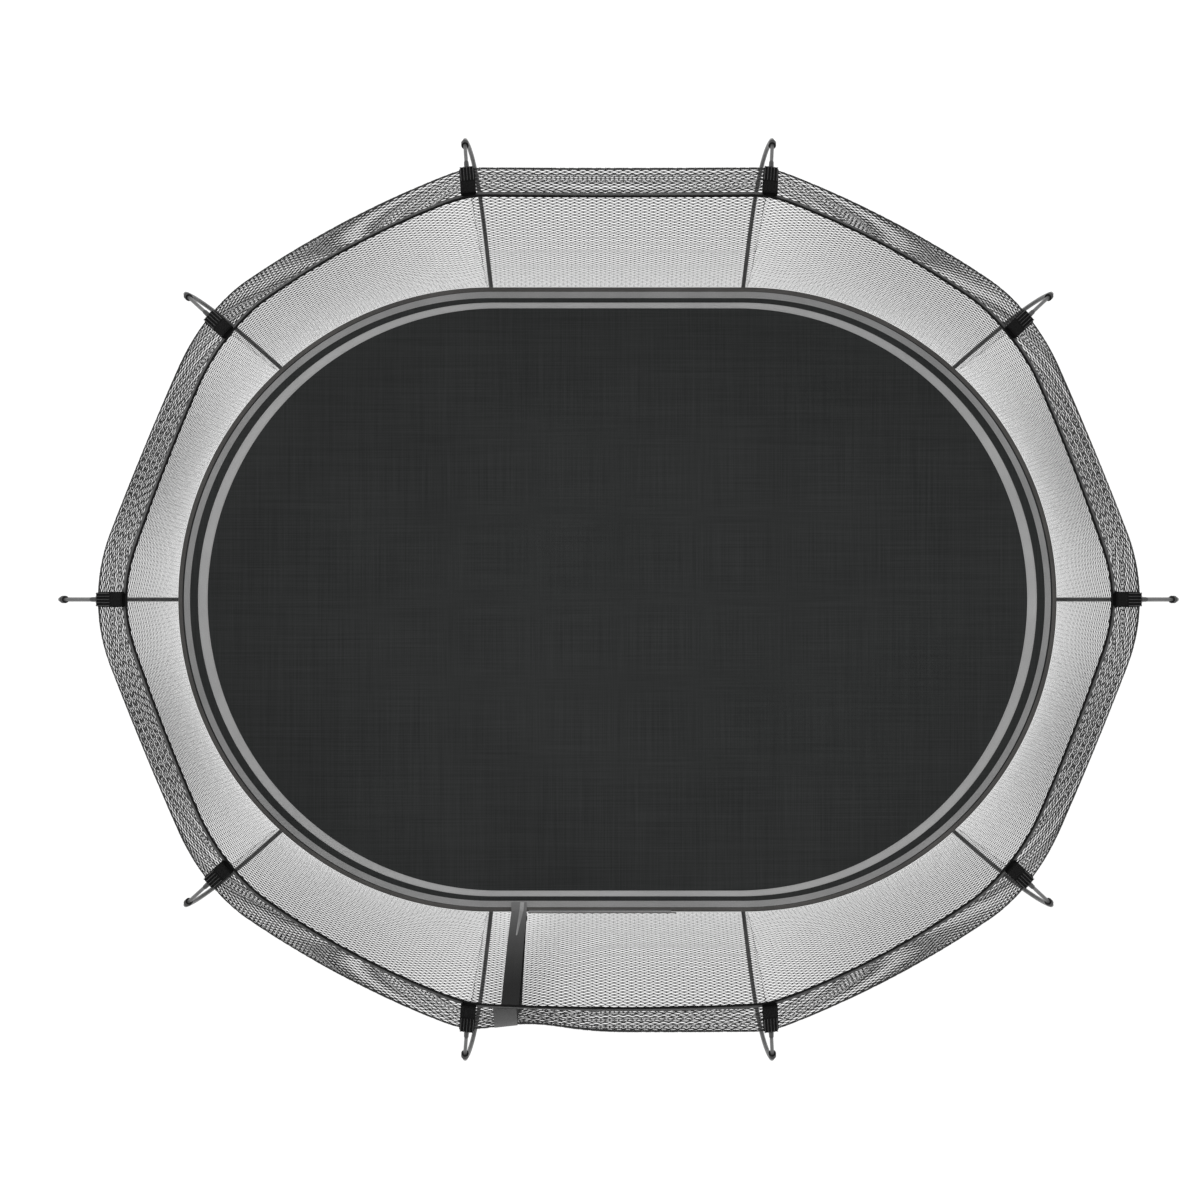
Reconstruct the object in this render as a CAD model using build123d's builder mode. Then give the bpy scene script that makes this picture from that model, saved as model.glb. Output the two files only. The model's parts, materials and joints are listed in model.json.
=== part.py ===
from build123d import *
import os
from math import atan2, cos, pi, radians, sin, sqrt, tan
from typing import NamedTuple

os.makedirs("parts", exist_ok=True)

# Jumping mat: an oval with straight sides along X and half-round ends
mat_half_length = 1688.5
mat_half_width = 1200.0
mat_top = 880.0
mat_thickness = 3.0
arc_centre = mat_half_length - mat_half_width
border_width = 17.0
border_height = 5.0
stripe_height = 1.5
# Each stripe's inner and outer oval, as half-length and half-width
inner_stripe = ((1577.0, 1120.0), (1612.0, 1141.0))
outer_stripe = ((1643.5, 1159.0), (1666.5, 1183.0))

# Ring tube of the frame, which follows the mat's oval further in
ring_radius = 960.0
ring_height = 300.0
ring_tube = 21.0
ring_wall = 2.5
sleeve_wall = 3.2
sleeve_fit = 0.2
sleeve_half_length = 36.0
rivet_radius = 3.0
rivet_head_height = 2.5
rivet_head_taper = 30
rivet_head_gap = 0.2
rivet_end = 1.0

# Legs: bent tubes in pairs of uprights under the ring
leg_turns = (-65.0, 0.0, 65.0)
leg_half_width = 200.0
leg_tube = 19.0
leg_wall = 2.0
leg_bend = 90.0
leg_base_height = 30.0
leg_top = 276.0
stub_wall = 4.7
stub_bottom = 235.0
leg_fit = 0.3
bolt_radius = 4.0
bolt_height = 255.0
bolt_head_radius = 7.5
bolt_head_height = 6.0
bolt_head_gap = 0.2
bolt_end = 3.0
pad_size = (76.0, 58.0, 24.0)
pad_corner = 12.0
pad_half_spacing = 95.0

# Mat rods: straight rods from the ring to the mat's edge
mat_rod_count = 60
mat_rod_radius = 4.5
mat_rod_side_step = 0.5
mat_rod_head_inset = 12.0
mat_rod_head_height = 862.0
rod_socket_radius = 9.0
rod_socket_length = 72.0
rod_socket_floor = 28.0
cleat_size = (30.0, 20.0, 38.0)
cleat_bore = 6.0
cleat_corner = 4.0
cleat_gap = 1.2

# Net rods: bowed rods that hold the net, whose feet stand a little to one side of their pockets
rod_radius = 8.0
upper_rod_radius = 6.5
foot_reach = -190.0
foot_height = 330.0
elbow_radius = 200.0
ferrule_radius = 13.5
ferrule_length = 26.0
ferrule_overlap = 6.0
neck_length = 62.0
neck_radius = 9.2
neck_wall = 1.4
pocket_size = (55.0, 16.0, 249.0)
pocket_corner = 5.0
pocket_start = 26.0
pocket_bore = 6.8
rod_in_pocket = 227.0
pocket_gap = 11.5
bracket_size = (76.0, 38.0, 30.0)
bracket_back = 62.0
bracket_drop = 16.0
bracket_tube_wall = 5.5
bracket_tube_length = 112.0
bracket_tube_floor = 34.0
rod_fit = 0.3

# Net: a wall that leans out from the mat, then a collar that leans in to the hem
net_foot_height = 885.0
bulge_height = 2130.0
hem_height = 2380.0
net_thickness = 3.0
net_foot_reach = 8.0
end_panel_bow = 43.0
corner_panel_bow = 56.0
hem_depth = 26.0
hem_inside = 0.4
hem_outside = 2.8
cord_size = 10.0

# Door in the front wall, measured along the wall from its middle and up its slope
slit_place = -345.0
slit_length = 1150.0
door_end = 236.0
door_gap = 2.5
strap_right = -347.0
strap_widths = (59.0, 66.0)
strap_lean = 11.0
strap_thickness = 3.0
strap_tail = 42.0
patch_overhang = 16.0
patch_thickness = 2.4
flap_hem_width = 11.0
flap_hem_thickness = 1.8
flap_hem_end = 30.0
flap_hem_lift = 6.0
streak_length = 370.0
streak_widths = (17.0, 7.0)
streak_shift = 9.0
zip_width = 8.0
zip_thickness = 3.0
slider_size = (14.0, 32.0, 8.0)
slider_corner = 3.0
slider_place = 30.0
pull_size = (10.0, 42.0, 2.5)
pull_corner = 4.0
pull_place = 20.0
pull_slot = (12.0, 5.0)
pull_slot_drop = 12.0


class NetRod(NamedTuple):
    """Two places on the mat's edge with a way out from each, one for a net rod's pocket and one for
    its foot, and the reach of its parts from there."""

    name: str
    place: Vector
    out: Vector
    foot_place: Vector
    foot_out: Vector
    lean: float
    reach: float
    bulge: float
    hem: float


def net_rod(name, x, y, turn, shift, twist, lean, reach, bulge, hem, side_x, side_y):
    """One rod of a kind that is drawn for the +X +Y quarter, put on the given side of each axis."""
    turn = radians(turn)
    foot_turn = turn + radians(twist)
    return NetRod(
        name,
        Vector(side_x * x, side_y * y),
        Vector(side_x * cos(turn), side_y * sin(turn)),
        Vector(side_x * (x - shift * sin(turn)), side_y * (y + shift * cos(turn))),
        Vector(side_x * cos(foot_turn), side_y * sin(foot_turn)),
        lean,
        reach,
        bulge,
        hem,
    )


def end_rod(name, side_x):
    return net_rod(name, mat_half_length, 0, 0, 0, 0, 29, 350, 160, 33, side_x, 1)


def corner_rod(name, side_x, side_y):
    return net_rod(name, 1305.5, 878.9, 40.75, 14.4, 1.6, 30, 359, 194, 72, side_x, side_y)


def side_rod(name, side_x, side_y):
    return net_rod(name, 500.0, 1200.0, 83.1, 10, 1.9, 34, 472, 331, 208, side_x, side_y)


# Round the mat, counter-clockwise from the right-hand end
net_rods = (
    end_rod("end_right", 1),
    corner_rod("corner_rear_right", 1, 1),
    side_rod("side_rear_right", 1, 1),
    side_rod("side_rear_left", -1, 1),
    corner_rod("corner_rear_left", -1, 1),
    end_rod("end_left", -1),
    corner_rod("corner_front_left", -1, -1),
    side_rod("side_front_left", -1, -1),
    side_rod("side_front_right", 1, -1),
    corner_rod("corner_front_right", 1, -1),
)
up = Vector(0, 0, 1)


def save(piece, name):
    piece.part.label = name
    export_step(piece.part, f"parts/{name}.step")


def edge_place(distance):
    """The point this far round the mat's edge from its right-hand end, and the way straight out."""
    quarter = pi * mat_half_width / 2
    side = 2 * arc_centre
    distance %= 4 * quarter + 2 * side
    if distance < quarter:
        centre, turn = arc_centre, distance / mat_half_width
    elif distance < quarter + side:
        centre, turn = arc_centre - (distance - quarter), pi / 2
    elif distance < 3 * quarter + side:
        centre, turn = -arc_centre, pi / 2 + (distance - quarter - side) / mat_half_width
    elif distance < 3 * quarter + 2 * side:
        centre, turn = -arc_centre + distance - 3 * quarter - side, 3 * pi / 2
    else:
        centre, turn = arc_centre, 3 * pi / 2 + (distance - 3 * quarter - 2 * side) / mat_half_width
    outward = Vector(cos(turn), sin(turn), 0)
    return Vector(centre, 0, 0) + outward * mat_half_width, outward


def pull_oval(inner, outer, height, thickness):
    """A flat oval band between two ovals, standing on the given height."""
    with BuildPart() as band:
        with BuildSketch(Plane.XY.offset(height)):
            SlotCenterToCenter(2 * (outer[0] - outer[1]), 2 * outer[1])
            if inner:
                SlotCenterToCenter(2 * (inner[0] - inner[1]), 2 * inner[1], mode=Mode.SUBTRACT)
        extrude(amount=thickness)
    return band


# --- Ring ---------------------------------------------------------------------------------------


def ring_bend(end, start, turn, outer, inner=0.0):
    """A tube along the ring's round end, from the angle start through turn degrees."""
    outward = Vector(cos(radians(start)), sin(radians(start)), 0)
    centre = Vector(end * arc_centre, 0, ring_height)
    section = Plane(centre + outward * ring_radius, x_dir=outward, z_dir=up.cross(outward))
    with BuildPart() as bend:
        with BuildSketch(section):
            Circle(outer)
            if inner:
                Circle(inner, mode=Mode.SUBTRACT)
        revolve(axis=Axis(centre, (0, 0, 1)), revolution_arc=turn)
    return bend.part


def ring_side(side, start, length, outer, inner=0.0):
    """A tube along one of the ring's straight sides, from x = start."""
    section = Plane((start, side * ring_radius, ring_height), x_dir=(0, 1, 0), z_dir=(1, 0, 0))
    with BuildPart() as run:
        with BuildSketch(section):
            Circle(outer)
            if inner:
                Circle(inner, mode=Mode.SUBTRACT)
        extrude(amount=length)
    return run.part


with BuildPart() as ring_core:
    for end, start in ((1, -90), (-1, 90)):
        add(ring_bend(end, start, 180, ring_tube))
    for side in (-1, 1):
        add(ring_side(side, -arc_centre, 2 * arc_centre, ring_tube))

# The ring's joints lie between the feet of two mat rods: one joint on each round end, two on each side
edge_length = 2 * pi * mat_half_width + 4 * arc_centre
rod_spacing = edge_length / mat_rod_count
joint_turn = rod_spacing / mat_half_width
joint_place = 2 * rod_spacing

# Each rivet stands on the top of a sleeve, on one side of the joint that the sleeve covers
sleeve_outer = ring_tube + sleeve_fit + sleeve_wall
rivet_offset = sleeve_half_length * 0.6
rivet_places = []
for end in (-1, 1):
    for way in (-1, 1):
        turn = joint_turn + way * rivet_offset / ring_radius
        rivet_places.append((end * (arc_centre + ring_radius * cos(turn)), end * ring_radius * sin(turn)))
        for shift in (-1, 1):
            rivet_places.append((end * joint_place + shift * rivet_offset, way * ring_radius))

with BuildPart() as rivet_holes:
    with BuildSketch(Plane.XY.offset(ring_height)):
        with Locations(*rivet_places):
            Circle(rivet_radius + 0.1)
    extrude(amount=sleeve_outer + 5)

bore = ring_tube - ring_wall
for side, name in ((1, "rear"), (-1, "front")):
    with BuildPart() as tube:
        add(ring_side(side, -joint_place, 2 * joint_place, ring_tube, bore))
        add(rivet_holes.part, mode=Mode.SUBTRACT)
    save(tube, f"ring_side_{name}")

joint_degrees = joint_turn * 180 / pi
for end, side, start, stop, name in (
    (1, 1, joint_degrees, 90, "rear_right"),
    (-1, 1, 90, 180 + joint_degrees, "rear_left"),
    (-1, -1, 180 + joint_degrees, 270, "front_left"),
    (1, -1, 270, 360 + joint_degrees, "front_right"),
):
    with BuildPart() as tube:
        add(ring_bend(end, start, stop - start, ring_tube, bore))
        left = joint_place if end > 0 else -arc_centre
        add(ring_side(side, left, arc_centre - joint_place, ring_tube, bore))
        add(rivet_holes.part, mode=Mode.SUBTRACT)
    save(tube, f"ring_bend_{name}")

sleeve_turn = sleeve_half_length / ring_radius * 180 / pi
sleeve_bore = ring_tube + sleeve_fit
with BuildPart() as ring_sleeves:
    for end, middle in ((1, joint_degrees), (-1, 180 + joint_degrees)):
        add(ring_bend(end, middle - sleeve_turn, 2 * sleeve_turn, sleeve_outer, sleeve_bore))
        for side in (-1, 1):
            left = end * joint_place - sleeve_half_length
            add(ring_side(side, left, 2 * sleeve_half_length, sleeve_outer, sleeve_bore))
    add(rivet_holes.part, mode=Mode.SUBTRACT)
save(ring_sleeves, "ring_sleeves")

with BuildPart() as sleeve_rivets:
    with BuildSketch(Plane.XY.offset(ring_height + bore - rivet_end)):
        with Locations(*rivet_places):
            Circle(rivet_radius)
    extrude(amount=sleeve_outer - bore + rivet_end + rivet_head_gap)
    with BuildSketch(Plane.XY.offset(ring_height + sleeve_outer + rivet_head_gap)):
        with Locations(*rivet_places):
            Circle(2.2 * rivet_radius)
    extrude(amount=rivet_head_height, taper=rivet_head_taper)
save(sleeve_rivets, "sleeve_rivets")

# --- Legs ---------------------------------------------------------------------------------------


def leg_plane(end, turn):
    """The upright plane of a leg: x runs along the ring, y runs up."""
    outward = Vector(end * cos(radians(turn)), sin(radians(turn)), 0)
    inset = sqrt(ring_radius**2 - leg_half_width**2)
    origin = Vector(end * arc_centre, 0, 0) + outward * inset
    return Plane(origin, x_dir=up.cross(outward), z_dir=outward)


def bent_leg(plane, radius, inner=0.0):
    with BuildPart() as leg:
        with BuildLine(plane) as path:
            FilletPolyline(
                (-leg_half_width, leg_top),
                (-leg_half_width, leg_base_height),
                (leg_half_width, leg_base_height),
                (leg_half_width, leg_top),
                radius=leg_bend,
            )
        with BuildSketch(Plane(path.line @ 0, z_dir=path.line % 0)):
            Circle(radius)
            if inner:
                Circle(inner, mode=Mode.SUBTRACT)
        sweep()
    return leg.part


def bolt_plane(plane, side, out):
    """A plane across a leg's bolt, out from the leg's own plane."""
    return Plane(plane.from_local_coords((side * leg_half_width, bolt_height, out)), z_dir=plane.z_dir)


leg_planes = [leg_plane(end, turn) for end in (1, -1) for turn in leg_turns]
bolt_length = 2 * (leg_tube + leg_fit + stub_wall)
with BuildPart() as bolt_holes:
    for plane in leg_planes:
        for side in (-1, 1):
            with BuildSketch(bolt_plane(plane, side, -bolt_length / 2 - 5)):
                Circle(bolt_radius + 0.2)
            extrude(amount=bolt_length + 10)

leg_names = [f"leg_{end}_{place}" for end in ("right", "left") for place in ("front", "middle", "rear")]
for name, plane in zip(leg_names, leg_planes):
    with BuildPart() as leg:
        add(bent_leg(plane, leg_tube, leg_tube - leg_wall))
        add(bolt_holes.part, mode=Mode.SUBTRACT)
    save(leg, name)

with BuildPart() as foot_pads:
    for plane in leg_planes:
        for side in (-1, 1):
            middle = plane.from_local_coords((side * pad_half_spacing, 0, 0))
            with BuildSketch(Plane(middle, x_dir=plane.x_dir, z_dir=(0, 0, 1))):
                RectangleRounded(pad_size[0], pad_size[1], pad_corner)
            extrude(amount=pad_size[2])
    for plane in leg_planes:
        add(bent_leg(plane, leg_tube + leg_fit), mode=Mode.SUBTRACT)
save(foot_pads, "foot_pads")

with BuildPart() as leg_stubs:
    for plane in leg_planes:
        for side in (-1, 1):
            middle = plane.from_local_coords((side * leg_half_width, stub_bottom, 0))
            with BuildSketch(Plane(middle, z_dir=(0, 0, 1))):
                Circle(leg_tube + leg_fit + stub_wall)
            extrude(amount=ring_height - stub_bottom)
            with BuildSketch(Plane(middle, z_dir=(0, 0, 1))):
                Circle(leg_tube + leg_fit)
            extrude(amount=leg_top + 1 - stub_bottom, mode=Mode.SUBTRACT)
    add(ring_core.part, mode=Mode.SUBTRACT)
    add(bolt_holes.part, mode=Mode.SUBTRACT)
save(leg_stubs, "leg_stubs")

with BuildPart() as leg_bolts:
    for plane in leg_planes:
        for side in (-1, 1):
            head = bolt_length / 2 + bolt_head_gap
            with BuildSketch(bolt_plane(plane, side, -head - bolt_head_height - bolt_end)):
                Circle(bolt_radius)
            extrude(amount=2 * head + bolt_head_height + bolt_end)
            for out in (-head - bolt_head_height, head):
                with BuildSketch(bolt_plane(plane, side, out)):
                    RegularPolygon(radius=bolt_head_radius, side_count=6)
                extrude(amount=bolt_head_height)
save(leg_bolts, "leg_bolts")

# --- Mat ----------------------------------------------------------------------------------------

mat_oval = (mat_half_length - border_width / 2, mat_half_width - border_width / 2)
jumping_mat = pull_oval(None, mat_oval, mat_top - mat_thickness, mat_thickness)
save(jumping_mat, "jumping_mat")
save(pull_oval(*inner_stripe, mat_top, stripe_height), "mat_stripe_inner")
save(pull_oval(*outer_stripe, mat_top, stripe_height), "mat_stripe_outer")
border_inner = (mat_half_length - border_width, mat_half_width - border_width)
with BuildPart() as mat_border:
    border_foot = mat_top - mat_thickness - 1
    add(pull_oval(border_inner, (mat_half_length, mat_half_width), border_foot, border_height + 1).part)
    add(jumping_mat.part, mode=Mode.SUBTRACT)
save(mat_border, "mat_border")


def mat_rod_ends(number):
    """A mat rod's line, from the ring's centreline to its head at the mat's edge."""
    edge, outward = edge_place((number - mat_rod_side_step) * rod_spacing)
    foot = edge - outward * (mat_half_width - ring_radius) + up * ring_height
    edge, outward = edge_place(number * rod_spacing)
    head = edge - outward * mat_rod_head_inset + up * mat_rod_head_height
    return foot, head


def rod_cylinder(number, start, stop, radius):
    """A sketch plane and length along a mat rod: start from the ring's centre, stop short of the head."""
    foot, head = mat_rod_ends(number)
    along = (head - foot).normalized()
    with BuildPart() as rod:
        with BuildSketch(Plane(foot + along * start, z_dir=along)):
            Circle(radius)
        extrude(amount=(stop if stop > 0 else (head - foot).length - stop) - start)
    return rod.part


for name, first in (("right", -15), ("left", 15)):
    with BuildPart() as mat_rods:
        for number in range(first, first + mat_rod_count // 2):
            add(rod_cylinder(number, rod_socket_floor + 1, 0, mat_rod_radius))
    save(mat_rods, f"mat_rods_{name}")

with BuildPart() as rod_sockets:
    for number in range(mat_rod_count):
        add(rod_cylinder(number, ring_tube / 2, rod_socket_length, rod_socket_radius))
    for number in range(mat_rod_count):
        bored = rod_cylinder(number, rod_socket_floor, rod_socket_length + 5, mat_rod_radius + 0.3)
        add(bored, mode=Mode.SUBTRACT)
    add(ring_core.part, mode=Mode.SUBTRACT)
save(rod_sockets, "rod_sockets")

cleat_top = mat_top - mat_thickness - cleat_gap
with BuildPart() as edge_cleats:
    for number in range(mat_rod_count):
        edge, outward = edge_place(number * rod_spacing)
        middle = edge - outward * mat_rod_head_inset + up * (cleat_top - cleat_size[2])
        with BuildSketch(Plane(middle, x_dir=up.cross(outward), z_dir=(0, 0, 1))):
            RectangleRounded(cleat_size[0], cleat_size[1], cleat_corner)
        extrude(amount=cleat_size[2])
    for number in range(mat_rod_count):
        bored = rod_cylinder(number, rod_socket_length + 5, -2, cleat_bore)
        add(bored, mode=Mode.SUBTRACT)
save(edge_cleats, "edge_cleats")

# --- Net rods -----------------------------------------------------------------------------------


def collar_slope(rod):
    """The angle that the collar and the upper rod lean in, from upright."""
    return atan2(rod.bulge - rod.hem, hem_height - bulge_height)


def pocket_plane(rod, along):
    """A plane across the upper rod's line, this far up the collar from the net's bulge."""
    slope = collar_slope(rod)
    axis = up * cos(slope) - rod.out * sin(slope)
    off = rod.out * cos(slope) + up * sin(slope)
    corner = rod.place + rod.out * rod.bulge + up * bulge_height
    return Plane(corner + off * pocket_gap + axis * along, x_dir=rod.out.cross(up), z_dir=axis)


def bow_corner(rod):
    """Where the line of a net rod's foot would reach as far out as the rod does."""
    reach = rod.reach - rod_radius
    rise = (reach - foot_reach) / tan(radians(rod.lean))
    return rod.foot_place + rod.foot_out * reach + up * (foot_height + rise)


def elbow_corner(rod):
    """Where the upper rod's line would reach as far out as the rod does."""
    line = pocket_plane(rod, 0)
    reach = (line.origin - rod.place).dot(rod.out)
    return line.origin + line.z_dir * (rod.reach - rod_radius - reach) / line.z_dir.dot(rod.out)


def foot_line(rod):
    """A net rod's foot, and the way that it leaves it."""
    along = rod.foot_out * sin(radians(rod.lean)) + up * cos(radians(rod.lean))
    return rod.foot_place + rod.foot_out * foot_reach + up * foot_height, along


def elbow_run(rod):
    """How much of each line the elbow takes up."""
    lift = elbow_corner(rod) - bow_corner(rod)
    return elbow_radius * tan(radians(lift.get_angle(pocket_plane(rod, 0).z_dir)) / 2)


def elbow_end(rod):
    return elbow_corner(rod) + pocket_plane(rod, 0).z_dir * elbow_run(rod)


def lower_rod(rod, radius):
    """The rod from its foot, along a straight and a long bow, to the end of its elbow."""
    foot, along = foot_line(rod)
    corner = bow_corner(rod)
    lift = elbow_corner(rod) - corner
    bow_run = lift.length - elbow_run(rod)
    bow_start = corner - along * bow_run
    apex = corner + lift.normalized() * bow_run
    with BuildPart() as piece:
        with BuildLine() as path:
            Line(foot, bow_start)
            TangentArc(bow_start, apex, tangent=along)
            TangentArc(apex, elbow_end(rod), tangent=lift)
        with BuildSketch(Plane(path.line @ 0, z_dir=path.line % 0)):
            Circle(radius)
        sweep()
    return piece


for rod in net_rods:
    save(lower_rod(rod, rod_radius), f"net_rod_{rod.name}")

with BuildPart() as rod_ferrules:
    for rod in net_rods:
        joint = Plane(elbow_end(rod), z_dir=pocket_plane(rod, 0).z_dir)
        with BuildSketch(joint.offset(-ferrule_overlap)):
            Circle(ferrule_radius)
        extrude(amount=ferrule_length)
        with BuildSketch(joint.offset(-ferrule_overlap)):
            Circle(rod_radius + rod_fit)
        extrude(amount=ferrule_overlap + rod_fit, mode=Mode.SUBTRACT)
        with BuildSketch(joint):
            Circle(upper_rod_radius + rod_fit)
        extrude(amount=ferrule_length, mode=Mode.SUBTRACT)
save(rod_ferrules, "rod_ferrules")

with BuildPart() as upper_rods:
    for rod in net_rods:
        stop = pocket_plane(rod, pocket_start + rod_in_pocket)
        with BuildSketch(Plane(elbow_end(rod), z_dir=stop.z_dir)):
            Circle(upper_rod_radius)
        extrude(amount=(stop.origin - elbow_end(rod)).length)
save(upper_rods, "upper_rods")

with BuildPart() as rod_necks:
    for rod in net_rods:
        foot = pocket_plane(rod, pocket_start - neck_length)
        with BuildSketch(Plane(foot.origin, x_dir=foot.x_dir, z_dir=foot.x_dir.cross(foot.z_dir))):
            Polygon(
                (pocket_bore, 0),
                (pocket_bore + neck_wall, 0),
                (neck_radius, neck_length),
                (pocket_bore, neck_length),
                align=None,
            )
        revolve(axis=Axis(foot.origin, foot.z_dir))
save(rod_necks, "rod_necks")

with BuildPart() as net_pockets:
    for rod in net_rods:
        with BuildSketch(pocket_plane(rod, pocket_start)):
            RectangleRounded(pocket_size[0], pocket_size[1], pocket_corner)
        extrude(amount=pocket_size[2])
        with BuildSketch(pocket_plane(rod, pocket_start)):
            Circle(pocket_bore)
        extrude(amount=rod_in_pocket + 5, mode=Mode.SUBTRACT)
save(net_pockets, "net_pockets")

with BuildPart() as net_rod_brackets:
    for rod in net_rods:
        foot, along = foot_line(rod)
        middle = foot - rod.foot_out * (bracket_back - bracket_size[0] / 2)
        middle.Z = ring_height - bracket_drop
        with BuildSketch(Plane(middle, x_dir=rod.foot_out, z_dir=(0, 0, 1))):
            Rectangle(bracket_size[0], bracket_size[1])
        extrude(amount=bracket_size[2])
        with BuildSketch(Plane(foot - along * bracket_tube_floor, z_dir=along)):
            Circle(rod_radius + bracket_tube_wall)
        extrude(amount=bracket_tube_length)
    for rod in net_rods:
        foot, along = foot_line(rod)
        with BuildSketch(Plane(foot - along, z_dir=along)):
            Circle(rod_radius + rod_fit)
        extrude(amount=bracket_tube_length, mode=Mode.SUBTRACT)
    add(ring_core.part, mode=Mode.SUBTRACT)
save(net_rod_brackets, "net_rod_brackets")

# --- Net ----------------------------------------------------------------------------------------


def net_reach(rod, height):
    """How far out the net's outer face stands from the mat's edge at a net rod."""
    if height <= bulge_height:
        share = (height - net_foot_height) / (bulge_height - net_foot_height)
        return net_foot_reach + share * (rod.bulge - net_foot_reach)
    share = (height - bulge_height) / (hem_height - bulge_height)
    return rod.bulge + share * (rod.hem - rod.bulge)


def net_corner(rod, height, off=0.0):
    return rod.place + rod.out * (net_reach(rod, height) + off)


def bowed(start, end, bow):
    """A line from start to end, bowed away from the middle of the mat."""
    middle = (start + end) / 2
    across = end - start
    if bow:
        ThreePointArc(start, middle + Vector(across.Y, -across.X).normalized() * bow, end)
    else:
        Line(start, end)


def panel_bow(first, second, height):
    """How far a net panel's outline bows out between two net rods at this height."""
    if first.place.Y == second.place.Y:
        return 0.0
    on_end = first.place.Y == 0 or second.place.Y == 0
    net_bow = end_panel_bow if on_end else corner_panel_bow
    chord = (net_corner(second, net_foot_height) - net_corner(first, net_foot_height)).length
    radius = mat_half_width + net_foot_reach
    foot_bow = radius - sqrt(radius**2 - chord**2 / 4)
    share = min((height - net_foot_height) / (bulge_height - net_foot_height), 1)
    return foot_bow + share * (net_bow - foot_bow)


def panel_outline(first, second, height, inside, outside):
    """The outline of a net panel at one height, between two offsets from the net's outer face."""
    bow = panel_bow(first, second, height)
    corners = [
        net_corner(first, height, outside),
        net_corner(second, height, outside),
        net_corner(second, height, inside),
        net_corner(first, height, inside),
    ]
    with BuildSketch(Plane.XY.offset(height)) as outline:
        with BuildLine():
            bowed(corners[0], corners[1], bow)
            Line(corners[1], corners[2])
            bowed(corners[2], corners[3], -bow)
            Line(corners[3], corners[0])
        make_face()
    return outline.sketch


def net_panel(first, second, low, high, inside=-net_thickness, outside=0.0):
    """A panel of the net between two net rods, from one height up to another."""
    with BuildPart() as panel:
        add(panel_outline(first, second, low, inside, outside))
        add(panel_outline(first, second, high, inside, outside))
        loft(ruled=True)
    return panel.part


neighbours = list(zip(net_rods, net_rods[1:] + net_rods[:1]))
panel_names = (
    "right_rear",
    "corner_rear_right",
    "rear",
    "corner_rear_left",
    "left_rear",
    "left_front",
    "corner_front_left",
    "front",
    "corner_front_right",
    "right_front",
)
for name, (first, second) in zip(panel_names, neighbours):
    if name != "front":
        with BuildPart() as net_wall:
            add(net_panel(first, second, net_foot_height, bulge_height))
        save(net_wall, f"net_wall_{name}")

with BuildPart() as net_collar:
    for first, second in neighbours:
        add(net_panel(first, second, bulge_height + 1, hem_height - 0.5))
save(net_collar, "net_collar")

with BuildPart() as net_hem:
    for first, second in neighbours:
        add(net_panel(first, second, hem_height - hem_depth, hem_height - 0.5, hem_inside, hem_outside))
save(net_hem, "net_hem")

with BuildPart() as net_top_cord:
    for first, second in neighbours:
        add(panel_outline(first, second, hem_height, -cord_size / 2, cord_size / 2))
    extrude(amount=cord_size)
save(net_top_cord, "net_top_cord")

# --- Door ---------------------------------------------------------------------------------------

side_front = net_rods[8]
wall_foot = net_corner(side_front, net_foot_height)
wall_head = net_corner(side_front, bulge_height)
wall_run = wall_foot.Y - wall_head.Y
wall_rise = bulge_height - net_foot_height
wall_slope_length = sqrt(wall_run**2 + wall_rise**2)
# On the front wall x runs to the right, y up the slope and z out, through the wall's outer face
front_wall_plane = Plane(
    (0, wall_foot.Y, net_foot_height),
    x_dir=(1, 0, 0),
    z_dir=(0, -wall_rise, -wall_run),
)
wall_gap = 0.6
door_corners = ((slit_place, 0), (slit_place, slit_length), (door_end, 0))


def on_wall(out):
    return front_wall_plane.offset(out)


with BuildPart() as front_wall:
    with BuildSketch(on_wall(0)):
        Polygon(
            (wall_gap - wall_foot.X, 0),
            (wall_foot.X - wall_gap, 0),
            (wall_head.X - wall_gap, wall_slope_length),
            (wall_gap - wall_head.X, wall_slope_length),
            align=None,
        )
        Polygon(*door_corners, align=None, mode=Mode.SUBTRACT)
    extrude(amount=-net_thickness)
save(front_wall, "net_wall_front")

with BuildPart() as door_flap:
    with BuildSketch(on_wall(0)):
        Polygon(*door_corners, align=None)
        offset(amount=-door_gap, kind=Kind.INTERSECTION, mode=Mode.REPLACE)
    extrude(amount=-net_thickness)
save(door_flap, "door_flap")

# The flap's hem is a light tape that lies inwards from the flap's foot, over the mat's border
flap_hem_ends = (slit_place + 2 * door_gap, door_end - flap_hem_end)
flap_hem_middle = wall_foot.Y + net_thickness + 1.4 + flap_hem_width / 2
with BuildPart() as flap_hem:
    with BuildSketch(Plane.XY.offset(mat_top + flap_hem_lift)):
        with Locations((sum(flap_hem_ends) / 2, flap_hem_middle)):
            Rectangle(flap_hem_ends[1] - flap_hem_ends[0], flap_hem_width)
    extrude(amount=flap_hem_thickness)
save(flap_hem, "flap_hem")

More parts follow.
